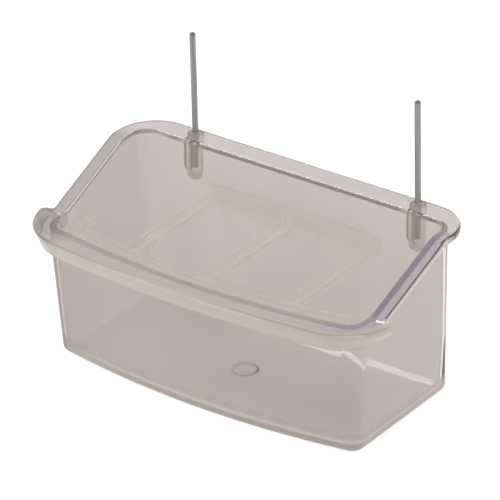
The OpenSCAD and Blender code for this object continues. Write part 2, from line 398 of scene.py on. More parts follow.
def tub_line(z, inset):
    """The tub's outer line at a height, or a line some way inside it."""
    r_front = max(FRONT_CORNER_R + (CORNER_TOP_R - FRONT_CORNER_R) * z / BACK_H - inset, BASE_EDGE_R)
    r_back = max(CORNER_R + (CORNER_TOP_R - CORNER_R) * z / BACK_H - inset, BASE_EDGE_R)
    half = BASE_W / 2 + z * SIDE_DRAFT - inset
    back = FLOOR_BACK + z * BACK_DRAFT - inset
    return Line(half, back, FLOOR_FRONT - z * FRONT_DRAFT + inset, r_front, r_back)


def rim_line(z, inset):
    """The rim's edge where the rim is at this height."""
    half = BASE_W / 2 + z * SIDE_DRAFT + SIDE_RIM - inset
    front = FLOOR_FRONT - z * FRONT_DRAFT - SIDE_RIM + inset
    return Line(half, BACK_Y - inset, front, RIM_R - inset, RIM_R - inset)


def lip_line(inset):
    """The lip's edge, which is level."""
    front = FLOOR_FRONT - LIP_H * FRONT_DRAFT - LIP_OUT + inset
    return Line(LIP_HALF - inset, BACK_Y, front, LIP_R - inset, LIP_R)


print("half width at the floor:", tub_line(0, 0).half, "mm, at the lip:", round(lip_line(0).half, 2), "mm")

# %% [markdown]
# Columns round the cup.
#
# The wall could start as a box with bevelled corners, but no bevel widens upwards as the
# moulded corners do. So it is built like a barrel, from upright columns that stand side by
# side round the outline. Columns are close together in the corners, where the light turns
# fast, and at the bends of the sloping rim. The lip stops on each side in an ear with a
# rounded end. Columns go round that end as well, and where the lip and its skirt stop
# suddenly, two columns stand at the same place: one with the lip and one without.

# %% Places of the columns
CORNER_STEPS = 14
EAR_STEPS = 6
FRONT_STEPS = 44
SIDE_STEPS = 30
BACK_STEPS = 30
SIDE_END = 17.5


def column_places():
    """Each column's stretch, its side, its place there, and the kind of rim that it carries."""
    places = []
    for side in (1, -1):
        turn = [k / CORNER_STEPS for k in range(CORNER_STEPS + 1)]
        run = [("front_corner", side, at, "lip") for at in turn]
        run += [("ear", side, (k + 1) / EAR_STEPS, "lip") for k in range(EAR_STEPS)]
        run += [("side", side, EAR_Y - SKIRT_T, "ear")]
        run += [("side", side, EAR_Y, kind) for kind in ("ear", "plain")]
        gap = (SIDE_END - EAR_Y) / SIDE_STEPS
        run += [("side", side, EAR_Y + gap * (k + 1), "plain") for k in range(SIDE_STEPS)]
        run += [("back_corner", side, at, "plain") for at in turn]
        if side == 1:
            places += run + [("back", 0, k / BACK_STEPS, "plain") for k in range(1, BACK_STEPS)]
        else:
            places += run[::-1] + [("front", 0, k / FRONT_STEPS, "lip") for k in range(1, FRONT_STEPS)]
    return places


COLUMNS = column_places()
print("columns:", len(COLUMNS))


# %% Where a column crosses a line
def round_point(side, middle_x, middle_y, radius, angle):
    """A point on a corner's arc, mirrored for the left side."""
    return side * (middle_x + radius * math.cos(angle)), middle_y + radius * math.sin(angle)


def column_point(line, place):
    """The point where a column crosses a level line of the tub or of the rim."""
    stretch, side, at, _ = place
    if stretch == "side":
        return side * line.half, max(at, line.corner_y)
    if stretch == "ear":
        return side * line.half, line.corner_y + max(EAR_Y - SKIRT_T - line.corner_y, 0) * at
    if stretch == "back":
        return (1 - 2 * at) * (line.half - line.r_back), line.back
    if stretch == "front":
        angle = line.swing * (2 * at - 1)
        return line.bow_r * math.sin(angle), line.bow_y - line.bow_r * math.cos(angle)
    if stretch == "front_corner":
        angle = (line.swing - math.pi / 2) * (1 - at)
        return round_point(side, line.half - line.r_front, line.corner_y, line.r_front, angle)
    angle = math.pi / 2 * at
    return round_point(side, line.half - line.r_back, line.back - line.r_back, line.r_back, angle)


def lip_point(place, inset, within):
    """The point where a column crosses the lip's outline, drawn in at the front and at the ears."""
    line = lip_line(inset)
    stretch, side, at, _ = place
    if stretch == "front":
        return column_point(line, place)
    middle = line.half - line.r_front
    ear_x = LIP_HALF - EAR_R
    ear_y = EAR_Y - EAR_R
    ear_r = EAR_R - within
    apart = math.hypot(ear_x - middle, ear_y - line.corner_y)
    reach = (apart ** 2 + line.r_front ** 2 - ear_r ** 2) / (2 * apart)
    meet = math.atan2(ear_y - line.corner_y, ear_x - middle) + math.acos(reach / line.r_front)
    if stretch == "front_corner":
        first = line.swing - math.pi / 2
        return round_point(side, middle, line.corner_y, line.r_front, first + (meet - first) * at)
    x, y = round_point(1, middle, line.corner_y, line.r_front, meet)
    first = math.atan2(y - ear_y, x - ear_x)
    share = at if stretch == "ear" else 1
    return round_point(side, ear_x, ear_y, ear_r, first + (math.pi / 2 - first) * share)


print("the first column meets the lip at", [round(c, 2) for c in lip_point(COLUMNS[0], 0, 0)], "mm")

# %% Heights of the rim's top and of the skirt's foot
BEND_R = 6


def foot_height(y):
    """Height of the skirt's foot, which is level in front and rises to the ears."""
    share = (y - EAR_Y + RISE_DEPTH) / RISE_DEPTH
    return LIP_H - SKIRT_H + FOOT_RISE * min(max(share, 0), 1)


def rim_height(y):
    """Height of the rim's top at a depth: level at the back, a slope, level at the lip."""
    lean = math.atan2(BACK_H - LIP_H, SLOPE_END - BACK_LEVEL)
    lay = BEND_R * math.tan(lean / 2)
    first = BACK_Y - BACK_LEVEL
    last = BACK_Y - SLOPE_END
    if y > first + lay:
        return BACK_H
    if y < last - lay:
        return LIP_H
    if y > first - lay * math.cos(lean):
        return BACK_H - BEND_R + math.sqrt(BEND_R ** 2 - (first + lay - y) ** 2)
    if y < last + lay * math.cos(lean):
        return LIP_H + BEND_R - math.sqrt(BEND_R ** 2 - (y - last + lay) ** 2)
    return BACK_H - (first - y) * math.tan(lean)


print("rim's top from back to front, mm:", [round(rim_height(y), 1) for y in (BACK_Y, 0, EAR_Y)])

# %% [markdown]
# One section of the cup.
#
# A saw cut from the middle of the floor out through the wall shows one closed line: up
# the inside, over the rounded rim, down its edge, back under it, down the outside and in
# under the floor. At the front the line also runs out over the lip and round its skirt.
# A Solidify modifier could give a plain sheet its thickness, but then the rim, the floor
# and the edges couldn't each have their own. So the whole line is written out here.
# Every column gets the same number of points, and where there is no skirt its points
# fall together, so that neighbouring columns always match and can be joined by quads.

# %% Points of the gate mark and of the flat floor
FLOOR_SHARES = (0.02, 0.35, 0.7, 0.98)
GATE_D = 8.4
GATE_Y = (2 * FLOOR_BACK - BASE_D - FRONT_BOW) / 2
GATE_RISE = 0.5
GATE_PIT = 0.5
GATE_NIB_D = 2.4
GATE_EDGE = 0.2
GATE_R = GATE_D / 2
NIB_R = GATE_NIB_D / 2
# Each point's distance from the middle of the mark and its height, above the floor and below it
GATE_DISC = ((GATE_R / 2, GATE_RISE), (GATE_R - GATE_EDGE, GATE_RISE), (GATE_R, GATE_RISE - GATE_EDGE),
             (GATE_R, GATE_EDGE / 2), (GATE_R + GATE_EDGE, 0))
GATE_UNDER = ((GATE_R + GATE_EDGE, 0), (GATE_R, GATE_EDGE / 2), (GATE_R - GATE_EDGE / 2, GATE_PIT),
              (NIB_R, GATE_PIT), (NIB_R, GATE_EDGE / 2), (NIB_R / 2, GATE_EDGE / 4))


def gate_point(place, radius):
    """A point on a circle round the gate mark, in the direction of a column."""
    x, y = column_point(tub_line(0, WALL_T + FLOOR_R), place)
    away = math.atan2(y - GATE_Y, x)
    return radius * math.cos(away), GATE_Y + radius * math.sin(away)


def floor_ring(place, share, inset, z):
    """A point of the flat floor, part of the way from the gate mark to the wall."""
    gx, gy = gate_point(place, GATE_R)
    wx, wy = column_point(tub_line(z, inset), place)
    return gx + (wx - gx) * share, gy + (wy - gy) * share, z


print("gate mark:", GATE_D, "mm wide, its middle at", round(GATE_Y, 2), "mm")

# %% Points of the rim's top and edge
# A height that hangs on a depth that hangs on the height settles in a few rounds.
SETTLE = 3
ROUND_STEPS = 4
SKIRT_STEPS = 2
UNDER_ROUND = 0.35
LIP_POINTS = 1 + (ROUND_STEPS + 1) + 2 * (SKIRT_STEPS + 1) + 2


def quarter(steps):
    """Cosine and sine of evenly spaced angles from 0 to a quarter turn."""
    turns = [math.pi / 2 * k / steps for k in range(steps + 1)]
    return [(math.cos(turn), math.sin(turn)) for turn in turns]


def on_top(line_at, place, drop=0.0, least=0.0):
    """A point that lies a drop below the rim's top, on the line for its own height."""
    z = BACK_H
    for _ in range(SETTLE):
        x, y = column_point(line_at(z), place)
        z = max(rim_height(y) - drop, least)
    x, y = column_point(line_at(z), place)
    return x, y, z


def plain_points(place):
    """The rim's edge and underside where there is no lip. Spare points fall together."""
    points = []
    for c, s in quarter(SKIRT_STEPS):
        inset = UNDER_ROUND * (1 - c)
        points.append(on_top(lambda z: rim_line(z, inset), place, RIM_T - UNDER_ROUND * (1 - s)))
    points += [points[-1]] * (LIP_POINTS - 1 - len(points))
    points.append(on_top(lambda z: tub_line(z, 0), place, RIM_T))
    return points


print("points from the rim's edge to the wall:", len(plain_points(("back", 0, 0.5, "plain"))))

# %% Points of the lip and its skirt
OUTER_ROUND = 0.7
FOOT_ROUND = 0.4
FOOT_H = LIP_H - SKIRT_H


def skirt_point(place, up, inward):
    """A point of the skirt, some way above its foot and inward from its outer face."""
    inset = SKIRT_TAPER
    for _ in range(SETTLE):
        x, y = lip_point(place, inset + inward, inward)
        z = foot_height(y) + up
        inset = SKIRT_TAPER * (LIP_H - OUTER_ROUND - z) / (SKIRT_H - OUTER_ROUND)
    return x, y, z


def lip_points(place):
    """Out over the lip, down its skirt, round the foot and back up to the wall."""
    under = LIP_H - RIM_T
    points = [(*column_point(rim_line(LIP_H, 0), place), LIP_H)]
    for c, s in quarter(ROUND_STEPS):
        drawn_in = OUTER_ROUND * (1 - s)
        points.append((*lip_point(place, drawn_in, drawn_in), LIP_H - OUTER_ROUND * (1 - c)))
    for c, s in quarter(SKIRT_STEPS):
        points.append(skirt_point(place, FOOT_ROUND * (1 - s), FOOT_ROUND * (1 - c)))
    if place[3] == "ear":
        x, y = column_point(tub_line(FOOT_H, 0), place)
        return points + [(x, y, foot_height(y))] * (LIP_POINTS - len(points))
    for c, s in quarter(SKIRT_STEPS):
        points.append(skirt_point(place, FOOT_ROUND * (1 - c), SKIRT_T - FOOT_ROUND * (1 - s)))
    points.append((*lip_point(place, SKIRT_T, SKIRT_T), under))
    points.append((*column_point(tub_line(under, 0), place), under))
    return points


print("points from the lip's edge to the wall:", len(lip_points(COLUMNS[0])))

# %% The whole section of a column
FLOOR_STEPS = 6
WALL_STEPS = 7
INNER_ROUND = 0.5


def section(place):
    """Points of the cut through one column, from the inside of the floor to its underside."""
    kind = place[3]
    least = 0.0 if kind == "plain" else LIP_H
    points = []
    for radius, z in GATE_DISC:
        points.append((*gate_point(place, radius), WALL_T + z))
    points += [floor_ring(place, share, WALL_T + FLOOR_R, WALL_T) for share in FLOOR_SHARES]
    for c, s in quarter(FLOOR_STEPS):
        z = WALL_T + FLOOR_R * (1 - c)
        points.append((*column_point(tub_line(z, WALL_T + FLOOR_R * (1 - s)), place), z))
    start = points[-1][2]
    inner = on_top(lambda z: tub_line(z, WALL_T), place, INNER_ROUND)
    for k in range(1, WALL_STEPS):
        z = start + (inner[2] - start) * k / WALL_STEPS
        points.append((*column_point(tub_line(z, WALL_T), place), z))
    for c, s in quarter(ROUND_STEPS):
        inset = WALL_T - INNER_ROUND * (1 - c)
        points.append(on_top(lambda z: tub_line(z, inset), place, INNER_ROUND * (1 - s)))
    for c, s in quarter(ROUND_STEPS):
        inset = OUTER_ROUND * (1 - s)
        points.append(on_top(lambda z: rim_line(z, inset), place, OUTER_ROUND * (1 - c), least))
    points += plain_points(place) if kind == "plain" else lip_points(place)
    for k in range(WALL_STEPS + 1):
        z = FOOT_H + (BASE_EDGE_R - FOOT_H) * k / WALL_STEPS
        points.append((*column_point(tub_line(z, 0), place), z))
    for c, s in quarter(ROUND_STEPS)[1:]:
        z = BASE_EDGE_R * (1 - s)
        points.append((*column_point(tub_line(z, BASE_EDGE_R * (1 - c)), place), z))
    points += [floor_ring(place, share, BASE_EDGE_R, 0) for share in FLOOR_SHARES[::-1]]
    points += [(*gate_point(place, radius), z) for radius, z in GATE_UNDER]
    return points


for kind in ("plain", "ear", "lip"):
    print(kind, "column:", len(section(("side", 1, EAR_Y, kind))), "points")

# %% [markdown]
# The clear plastic.
#
# The cup is cheap clear plastic with a smoky lilac tint, polished by its mould. Light goes
# through it, bends at every edge, and is lost a little in a fine haze. It could be pure
# glass, but then a single wall would look white before a white floor. So each surface is
# a mix of two things: clear plastic that bends light, and a thin hazy body with its own
# colour. The haze lies on the side of a surface that faces the air, and its share rises
# where a surface is seen edge on, because the eye looks through more plastic there. The
# body also takes away light with depth, which tints the thick edges. Lamps shine through
# clear plastic, so for shadows and for soft light from other surfaces each face simply
# takes a small share of the light away.

# %% Clear plastic
PLASTIC_IOR = 1.46
CLEAR_ROUGH = 0.05
HAZE_ROUGH = 0.12
HAZE_GLOSS = 0.3
SHADOW_TINT = (0.97, 0.965, 0.965, 1)
DEPTH_TONE = (0.66, 0.60, 0.59, 1)
DEPTH_DENSITY = 120
SCRATCH_SCALE = 900
SCRATCH_STRETCH = (1, 0.15, 0.6)
SCRATCH_STRENGTH = 0.012
SCRATCH_DEPTH = 0.00002


def clear_plastic(finish, tone, haze, edge_haze, density=DEPTH_DENSITY, ior=PLASTIC_IOR):
    """Clear plastic under a haze, with a share of light lost on the way through."""
    scratch = finish.noise(SCRATCH_SCALE, PLAIN_DETAIL, SCRATCH_STRETCH)
    both = {"IOR": ior, "Normal": finish.bump(scratch, SCRATCH_STRENGTH, SCRATCH_DEPTH)}
    inputs = {"Base Color": tone, "Roughness": HAZE_ROUGH, "Specular IOR Level": HAZE_GLOSS}
    hazy = finish.node("ShaderNodeBsdfPrincipled", {}, inputs | both)
    inputs = {"Base Color": grey(1), "Roughness": CLEAR_ROUGH, "Transmission Weight": 1.0}
    clear = finish.node("ShaderNodeBsdfPrincipled", {}, inputs | both)
    within = finish.node("ShaderNodeNewGeometry", {}, {}, "Backfacing")
    share = (haze + finish.edge_on() ** 2 * edge_haze) * (1 - within)
    seen = finish.node("ShaderNodeMixShader", {}, {0: share.at_most(1), 1: clear, 2: hazy})
    shadow = finish.node("ShaderNodeLightPath", {}, {}, "Is Shadow Ray")
    soft = finish.node("ShaderNodeLightPath", {}, {}, "Is Diffuse Ray")
    unseen = (shadow + soft).at_most(1)
    passed = finish.node("ShaderNodeBsdfTransparent", {}, {"Color": SHADOW_TINT})
    depth = finish.node("ShaderNodeVolumeAbsorption", {}, {"Color": DEPTH_TONE, "Density": density})
    finish.tree.links.new(depth.socket, finish.output.inputs["Volume"])
    return finish.surface(finish.node("ShaderNodeMixShader", {}, {0: unseen, 1: seen, 2: passed}))


print("plastic bends light by", PLASTIC_IOR)

# %% [markdown]
# One plastic in many zones.
#
# The real cup is the same plastic all over, but it doesn't look so. The inside carries
# most of the haze, and the rim and the lip are paler. Much of the rest is painted light
# and shade: painted shade on the left ends of the rim and the lip, painted reflections of
# the room on the right end and the back of the rim, painted shade on the outer corners at
# the left front and the right back where they are seen edge on, and a paler, hazier band
# of painted shade at the foot of the outer walls. A material for each zone would be the
# plain way, but at their seams the light would pass from one clear body into the next
# and lose its way. So the whole cup has one material. Colours on its points say how much
# of each point is inside, rim or lip, and soft masks by place and direction do the rest:
# the back, both sides, a painted highlight on the feet of the bosses, an arc of painted
# shade on the far side of the gate mark, a painted highlight inside each ear, and a
# painted highlight along the bright line at the foot of the back wall. Most rounded edges
# belong to no zone and stay clear, so that they catch the light.

# %% Zones, and masks for three small places
ZONES = ("inside", "rim", "lip", "clear")
INSIDE, RIM, LIP, CLEAR = range(len(ZONES))
# Places in millimetres: middles, and where each mask begins and where it is full
# The arc of painted shade on the far side of the gate mark
GATE_AT = 4.1
GATE_LINE = (0.15, 0.7)
GATE_FAR = (-1.5, 2.5)
# Painted highlight: the pale spot inside each ear
EAR_HIGHLIGHT = (59.5, -16.5, 44.5)
EAR_HIGHLIGHT_R = (1.4, 3.0)
GLINT_FAR = (0.9, 1.4)
GLINT_NEAR = (2.2, 2.7)
GLINT_TOP = (3, 4)


def gate_shade_arc(across, deep):
    """A thin arc of painted shade on the far side of the moulding gate's mark in the floor."""
    ahead = deep - GATE_Y * MM
    away = (across * across + ahead * ahead) ** 0.5
    return (1 - (away - GATE_AT * MM).size().past(*GATE_LINE)) * ahead.past(*GATE_FAR)


def ear_highlight(across, deep, height):
    """A painted highlight: a pale round spot inside the wall, where each end of the lip joins it."""
    aside = across.size() - EAR_HIGHLIGHT[0] * MM
    ahead = deep - EAR_HIGHLIGHT[1] * MM
    above = height - EAR_HIGHLIGHT[2] * MM
    away = (aside * aside + ahead * ahead + above * above) ** 0.5
    return 1 - away.past(*EAR_HIGHLIGHT_R)


def back_glint(deep, height):
    """The bright line at the foot of the back wall, where the fillet gathers the light."""
    ahead = (FLOOR_BACK - WALL_T) * MM - deep
    band = ahead.past(*GLINT_FAR) * (1 - ahead.past(*GLINT_NEAR))
    return band * (1 - height.past(*GLINT_TOP))


print("zones:", ", ".join(ZONES))

# %% Colours and shares of haze
# Soft clouds in the plastic
FLOW_SCALE = 45
FLOW_STRETCH = (1, 1, 0.3)
FLOW_TURN = (0.35, 0.7)
FLOW_SHARE = 0.05
FLOW_MIDDLE = 0.5
# Colours
LILAC = (0.42, 0.345, 0.32, 1)
LILAC_DEEP = (0.40, 0.33, 0.31, 1)
# Painted shade: a paler, hazier band at the foot of the outer walls
WALL_FOOT_SHADE = (0.52, 0.455, 0.435, 1)
# Painted shade on the outer corners where they are seen edge on
CORNER_SHADE = (0.27, 0.23, 0.22, 1)
# Painted highlight on the ball feet of the bosses
BOSS_FOOT_HIGHLIGHT = (0.75, 0.67, 0.65, 1)
# Painted shade on the far side of the gate mark
GATE_SHADE = (0.06, 0.052, 0.05, 1)
PEARL = (0.54, 0.48, 0.465, 1)
# Painted reflection of the room on the back of the rim
BACK_RIM_REFLECTION = (0.46, 0.40, 0.375, 1)
# Painted reflection of the room on the right end of the rim
RIGHT_RIM_REFLECTION = (0.44, 0.39, 0.45, 1)
# Painted shade on the left end of the rim, and towards the front, by the left ear
LEFT_RIM_SHADE = (0.29, 0.25, 0.235, 1)
LEFT_EAR_SHADE = (0.28, 0.25, 0.26, 1)
# Painted shade on the left end of the lip
LEFT_LIP_SHADE = (0.37, 0.315, 0.30, 1)
BEIGE = (0.57, 0.505, 0.46, 1)
GLINT_TONE = (0.95, 0.92, 0.89, 1)
# Shares of haze
OUTSIDE_HAZE = 0.1
INSIDE_HAZE = 0.66
RIM_HAZE = 0.55
LEFT_HAZE = 0.15
LIP_HAZE = 0.7
EDGE_HAZE = 0.4
WALL_FOOT_HAZE = 0.65
CORNER_HAZE = 0.75
FOOT_HAZE = 0.6
GATE_HAZE = 0.3
GLINT_HAZE = 0.3
EAR_HIGHLIGHT_HAZE = 0.4
# Places in millimetres, where each mask begins and where it is full
WALL_FOOT_TURN = (4, 8)
BACK_TURN = (14, 27)
SIDE_TURN = (46, 57)
EAR_TURN = (-22, -12)
BOSS_WALL = (29.2, 30)
BOSS_FOOT = (46.2, 47.6)
# How far an outer corner faces both ways, and how nearly it is seen edge on
CORNER_FACE = (0.08, 0.3)
CORNER_TURN = (0.1, 0.35)
print("share of haze inside:", INSIDE_HAZE, "and outside:", OUTSIDE_HAZE)


# %% The cup's plastic, zone by zone
def layered(finish, tone, haze, layers):
    """Lay masked colours over a tone, one after the other, each with its share of haze."""
    for mask, colour, share in layers:
        tone = finish.blend(mask, tone, colour)
        haze = haze + mask * share
    return tone, haze


def cup_plastic():
    """The one material of the cup, with a tone and a share of haze for every place."""
    finish = Finish("smoky_plastic")
    zones = finish.node("ShaderNodeAttribute", {"attribute_name": "zone"}, {}, "Color")
    inside, rim, lip = [zones.part(axis) for axis in "XYZ"]
    across, deep, height = [finish.place().part(axis) for axis in "XYZ"]
    facing = finish.node("ShaderNodeTexCoord", {}, {}, "Normal")
    flow = finish.noise(FLOW_SCALE, FINE_DETAIL, FLOW_STRETCH)
    back = deep.past(*BACK_TURN)
    right = across.past(*SIDE_TURN) * (1 - back)
    left = (0 - across).past(*SIDE_TURN) * (1 - back)
    # Painted shade: the foot of the outer walls is made hazier and paler
    shaded_wall_foot = (1 - height.past(*WALL_FOOT_TURN)) * (1 - inside)
    # Painted shade on the outer corners at the left front and the right back, seen edge on
    corner = (facing.part("X") * facing.part("Y")).between(*CORNER_FACE)
    corner = corner * finish.edge_on().between(*CORNER_TURN) * (1 - inside) * (1 - rim) * (1 - lip)
    # Painted highlight on the feet of the bosses
    foot = deep.past(*BOSS_WALL) * (1 - height.past(*BOSS_FOOT))
    # Painted shade on the far side of the gate mark
    gate = gate_shade_arc(across, deep) * inside
    glint = back_glint(deep, height) * inside
    # Painted highlight inside each ear
    mark = ear_highlight(across, deep, height)
    tone = finish.blend(flow.between(*FLOW_TURN), LILAC, LILAC_DEEP)
    haze = OUTSIDE_HAZE + inside * (INSIDE_HAZE - OUTSIDE_HAZE) + (flow - FLOW_MIDDLE) * FLOW_SHARE
    walls = ((shaded_wall_foot, WALL_FOOT_SHADE, WALL_FOOT_HAZE), (corner, CORNER_SHADE, CORNER_HAZE),
             (foot, BOSS_FOOT_HIGHLIGHT, FOOT_HAZE), (gate, GATE_SHADE, GATE_HAZE))
    tone, haze = layered(finish, tone, haze, walls)
    # Painted shade on the left ends of the rim and the lip, and painted reflections of the room on the right
    # end and the back of the rim
    left_shade = finish.blend(deep.past(*EAR_TURN), LEFT_EAR_SHADE, LEFT_RIM_SHADE)
    rim_tone = finish.blend(right, finish.blend(back, PEARL, BACK_RIM_REFLECTION), RIGHT_RIM_REFLECTION)
    rim_layer = (rim, finish.blend(left, rim_tone, left_shade), RIM_HAZE - OUTSIDE_HAZE + left * LEFT_HAZE)
    lip_layer = (lip, finish.blend(left, BEIGE, LEFT_LIP_SHADE), LIP_HAZE - OUTSIDE_HAZE)
    painted_highlights = ((glint, GLINT_TONE, GLINT_HAZE), (mark, BEIGE, EAR_HIGHLIGHT_HAZE))
    tone, haze = layered(finish, tone, haze, (rim_layer, lip_layer, *painted_highlights))
    return clear_plastic(finish, tone, haze, EDGE_HAZE)


SMOKY_PLASTIC = cup_plastic()
print("plastic:", SMOKY_PLASTIC.name, "with", len(SMOKY_PLASTIC.node_tree.nodes), "nodes")

# %% [markdown]
# The moulded cup.
#
# The cup is one piece, so it is one closed mesh. Wall, rim and lip could be separate
# meshes that overlap, but light that passes through clear plastic shows every hidden face.
# So the sections are joined column by column, and points that fall together are merged.
# Each band of faces is given its zone here as a slot number, which a boolean keeps,
# and the numbers turn into colours on the points once the bosses are joined on.

# %% Join the sections
MERGE = 0.00001
SHARP = math.radians(32)
SECTION = len(section(COLUMNS[0]))
RIM_FIRST = len(GATE_DISC) + len(FLOOR_SHARES) + (FLOOR_STEPS + 1) + (WALL_STEPS - 1)
RIM_LAST = RIM_FIRST + 2 * (ROUND_STEPS + 1)


def band_of(k, plain, milky):
    """Zone of the faces between points k and k + 1 of a section. Most rounded edges stay clear."""
    if k < RIM_FIRST:
        return INSIDE
    if k < RIM_FIRST + ROUND_STEPS:
        return RIM if milky else CLEAR
    if k < RIM_LAST:
        return CLEAR if plain and k > RIM_FIRST + ROUND_STEPS else RIM
    return LIP if k <= RIM_LAST + ROUND_STEPS + 1 and not plain else CLEAR


def tidy_mesh(bm, name):
    """A closed mesh with merged points and outward faces, and an empty slot for each zone."""
    bmesh.ops.remove_doubles(bm, verts=bm.verts, dist=MERGE)
    bmesh.ops.recalc_face_normals(bm, faces=bm.faces)
    mesh = bpy.data.meshes.new(name)
    bm.to_mesh(mesh)
    bm.free()
    for _ in ZONES:
        mesh.materials.append(None)
    return mesh


def soften(mesh):
    """Smooth shading, with true edges kept sharp."""
    mesh.polygons.foreach_set("use_smooth", [True] * len(mesh.polygons))
    mesh.set_sharp_from_angle(angle=SHARP)
    return mesh


def cup_mesh():
    """All sections joined by quads, and closed under the gate mark and above it."""
    bm = bmesh.new()
    rows = [[bm.verts.new([c * MM for c in point]) for point in section(place)] for place in COLUMNS]
    disc = bm.verts.new((0, GATE_Y * MM, (WALL_T + GATE_RISE) * MM))
    nib = bm.verts.new((0, GATE_Y * MM, GATE_EDGE / 4 * MM))
    next_rows = rows[1:] + rows[:1]
    next_columns = COLUMNS[1:] + COLUMNS[:1]
    for left, right, first, second in zip(rows, next_rows, COLUMNS, next_columns):
        plain = first[3] == second[3] == "plain"
        milky = not plain or first[:2] == ("side", 1)
        bm.faces.new((disc, left[0], right[0]))
        bm.faces.new((nib, right[-1], left[-1]))
        for k in range(SECTION - 1):
            face = bm.faces.new((left[k], left[k + 1], right[k + 1], right[k]))
            face.material_index = band_of(k, plain, milky)
    return tidy_mesh(bm, "cup_wall")


CUP_WALL = cup_mesh()
print("cup wall:", len(CUP_WALL.polygons), "faces")

# %% [markdown]
# Bosses and bores.
#
# Each pin is held by a boss under the back rim: a half-round post with a ball-shaped foot.
# It grows out of the back wall on a narrow web and ends just below the rim's top. It is
# lofted from the foot up and then joined to the cup by a boolean, since overlapping clear
# pieces would show their hidden faces. The bore is cut the same way.

# %% The bosses
BOSS_H = 17.2
BOSS_DROP = 1.2
BOSS_EDGE = 0.4
BOSS_SINK = 0.02
BOSS_GUSSET = 6
BOSS_WEB = 0.8
WEB_MOST = 0.95
BOSS_TURN = 24
BOSS_STEPS = 8
BOSS_TIP = 0.15


def loft(rings, name):
    """A closed skin through rings of points, all with the same number of points."""
    bm = bmesh.new()
    rows = [[bm.verts.new([c * MM for c in point]) for point in ring] for ring in rings]
    for low, high in zip(rows, rows[1:]):
        for k in range(len(low)):
            after = (k + 1) % len(low)
            bm.faces.new((low[k], low[after], high[after], high[k]))
    bm.faces.new(rows[0][::-1])
    bm.faces.new(rows[-1])
    for face in bm.faces:
        face.material_index = CLEAR
    return tidy_mesh(bm, name)


def boss_levels(foot):
    """Half width and height of each ring of a boss: a ball, a straight post, a rounded top."""
    radius = BOSS_D / 2
    levels = []
    for k in range(BOSS_STEPS + 1):
        turn = math.pi / 2 * max(k, BOSS_TIP) / BOSS_STEPS
        levels.append((radius * math.sin(turn), foot - radius * math.cos(turn)))
    levels.append((radius, foot + BOSS_GUSSET))
    top = BACK_H - BOSS_DROP
    for c, s in quarter(ROUND_STEPS):
        levels.append((radius - BOSS_EDGE * (1 - c), top - BOSS_EDGE * (1 - s)))
    return levels


def boss_mesh(x):
    """A post with a half-round back and a round foot, sunk a little into the back wall."""
    foot = BACK_H - BOSS_H + BOSS_D / 2
    inside = FLOOR_BACK + foot * BACK_DRAFT - WALL_T / 2
    shape = []
    for half, z in boss_levels(foot):
        web = min(half * WEB_MOST, BOSS_WEB)
        turn = math.asin(web / half) - math.pi / 2
        around = [turn + (math.pi - 2 * turn) * k / BOSS_TURN for k in range(BOSS_TURN + 1)]
        ring = [(x + half * math.cos(a), PIN_Y + half * math.sin(a), z) for a in around]
        reach = inside if z > foot + BOSS_EDGE else ring[0][1] - BOSS_SINK
        shape.append(ring + [(x - web, reach, z), (x + web, reach, z)])
    return loft(shape, "boss")


print("rings in a boss:", len(boss_levels(BACK_H - BOSS_H)))

# %% The bores
PIN_D = 2
PIN_GAP = 87.2
PIN_SEAT = 12.4
KNURL_RISE = 0.18
PRESS_BITE = 0.02
BORE_R = PIN_D / 2 + KNURL_RISE - PRESS_BITE
BORE_SIDES = 32
BORE_OVER = 1


def round_ring(x, radius, z):
    """A circle round a pin's axis."""
    around = [2 * math.pi * k / BORE_SIDES for k in range(BORE_SIDES)]
    return [(x + radius * math.cos(a), PIN_Y + radius * math.sin(a), z) for a in around]


def boolean(base, operation, tool):
    """The mesh that is left when a tool mesh is joined to a base or cut out of it."""
    first = bpy.data.objects.new("base", base)
    second = bpy.data.objects.new("tool", tool)
    for item in (first, second):
        bpy.context.scene.collection.objects.link(item)
    step = first.modifiers.new("step", "BOOLEAN")
    step.operation = operation
    step.solver = "EXACT"
    step.object = second
    graph = bpy.context.evaluated_depsgraph_get()
    made = bpy.data.meshes.new_from_object(first.evaluated_get(graph))
    for item in (first, second):
        bpy.data.objects.remove(item)
    return made


def bored_cup():
    """The cup's wall with both bosses joined on and both bores cut."""
    mesh = CUP_WALL
    for x in (-PIN_GAP / 2, PIN_GAP / 2):
        mesh = boolean(mesh, "UNION", boss_mesh(x))
        bore = [round_ring(x, BORE_R, BACK_H - PIN_SEAT), round_ring(x, BORE_R, BACK_H + BORE_OVER)]
        mesh = boolean(mesh, "DIFFERENCE", loft(bore, "bore"))
    return mesh


BORED_CUP = bored_cup()
print("cup with bosses and bores:", len(BORED_CUP.polygons), "faces, bores", round(2 * BORE_R, 2), "mm wide")


# %% The finished cup, with its zones as colours
def with_material(mesh, material):
    """One slot for every face, with this material in it."""
    mesh.polygons.foreach_set("material_index", [0] * len(mesh.polygons))
    mesh.materials.clear()
    mesh.materials.append(material)
    return mesh


def add_piece(name, mesh, body, slot, *nodes):
    """A visible piece that rides on a body and takes the place of packed nodes."""
    piece = bpy.data.objects.new(name, mesh)
    bpy.context.scene.collection.objects.link(piece)
    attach(piece, body)
    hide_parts(*nodes)
    return piece


def zones_as_colours(mesh):
    """Turn the zones from slot numbers into colours on the points, so that they run together."""
    shares = [[0] * CLEAR for _ in mesh.vertices]
    counts = [0] * len(mesh.vertices)
    for face in mesh.polygons:
        if face.material_index < CLEAR:
            for corner in face.vertices:
                counts[corner] += 1
                shares[corner][face.material_index] += 1
    zone = mesh.attributes.new("zone", "FLOAT_COLOR", "POINT")
    for point, share, count in zip(zone.data, shares, counts):
        point.color = [part / max(count, 1) for part in share] + [1]
    return with_material(mesh, SMOKY_PLASTIC)


